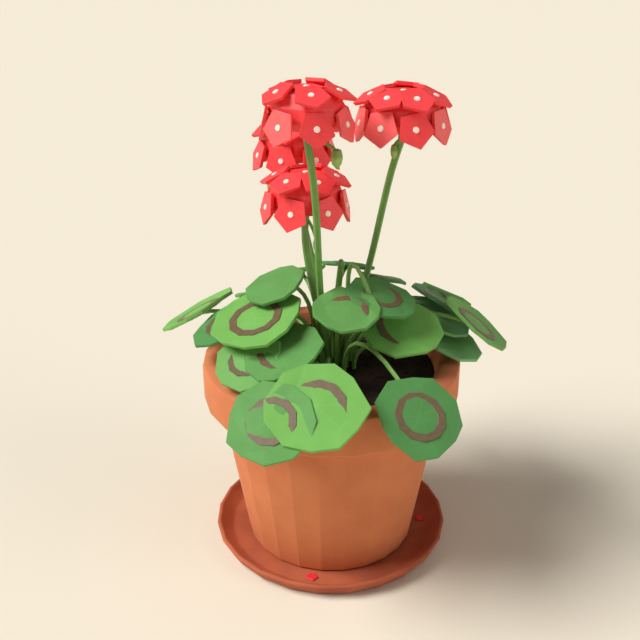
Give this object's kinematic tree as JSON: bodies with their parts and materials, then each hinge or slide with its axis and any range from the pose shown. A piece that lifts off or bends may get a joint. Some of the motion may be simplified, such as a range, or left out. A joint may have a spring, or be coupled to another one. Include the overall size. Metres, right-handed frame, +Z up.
{
  "type": "potted geranium",
  "caption": "Faceted zonal geranium with round ringed leaves and red flower umbels in a terracotta pot that stands on a terracotta saucer.",
  "frame": {"origin": "middle of the saucer's flat underside, on the pot's axis", "axes": "+Z up along the pot's axis, -Y towards the plant's front, +X to the front view's right"},
  "size_m": [0.2481, 0.246, 0.3382],
  "materials": {
    "saucer_terracotta": "unglazed, matt",
    "pot_terracotta": "unglazed, matt",
    "potting_soil": "damp, crumbly",
    "leaf_foliage": "matt, brown zone ring",
    "stem_green": "matt",
    "petal_red": "matt, pale eyes"
  },
  "bodies": {
    "root": {"saucer": "saucer_terracotta", "pot": "pot_terracotta", "soil": "potting_soil", "leaf_pair_front": "leaf_foliage", "leaf_03": "leaf_foliage", "leaf_pair_left": "leaf_foliage", "leaf_06": "leaf_foliage", "leaf_07": "leaf_foliage", "leaf_08": "leaf_foliage", "leaf_09": "leaf_foliage", "leaf_10": "leaf_foliage", "leaf_pair_middle": "leaf_foliage", "leaf_13": "leaf_foliage", "leaf_14": "leaf_foliage", "leaf_15": "leaf_foliage", "leaf_16": "leaf_foliage", "leaf_17": "leaf_foliage", "leaf_18": "leaf_foliage", "leaf_19": "leaf_foliage", "leaf_20": "leaf_foliage", "leaf_21": "leaf_foliage", "leaf_22": "leaf_foliage", "young_shoot_01": "stem_green", "flower_stem_01": "stem_green", "flower_head_01": "petal_red", "flower_stem_02": "stem_green", "flower_head_02": "petal_red", "flower_stem_03": "stem_green", "flower_head_03": "petal_red", "flower_stem_04": "stem_green", "flower_head_04": "petal_red", "fallen_petal_01": "petal_red", "fallen_petal_02": "petal_red"}
  },
  "joints": []
}
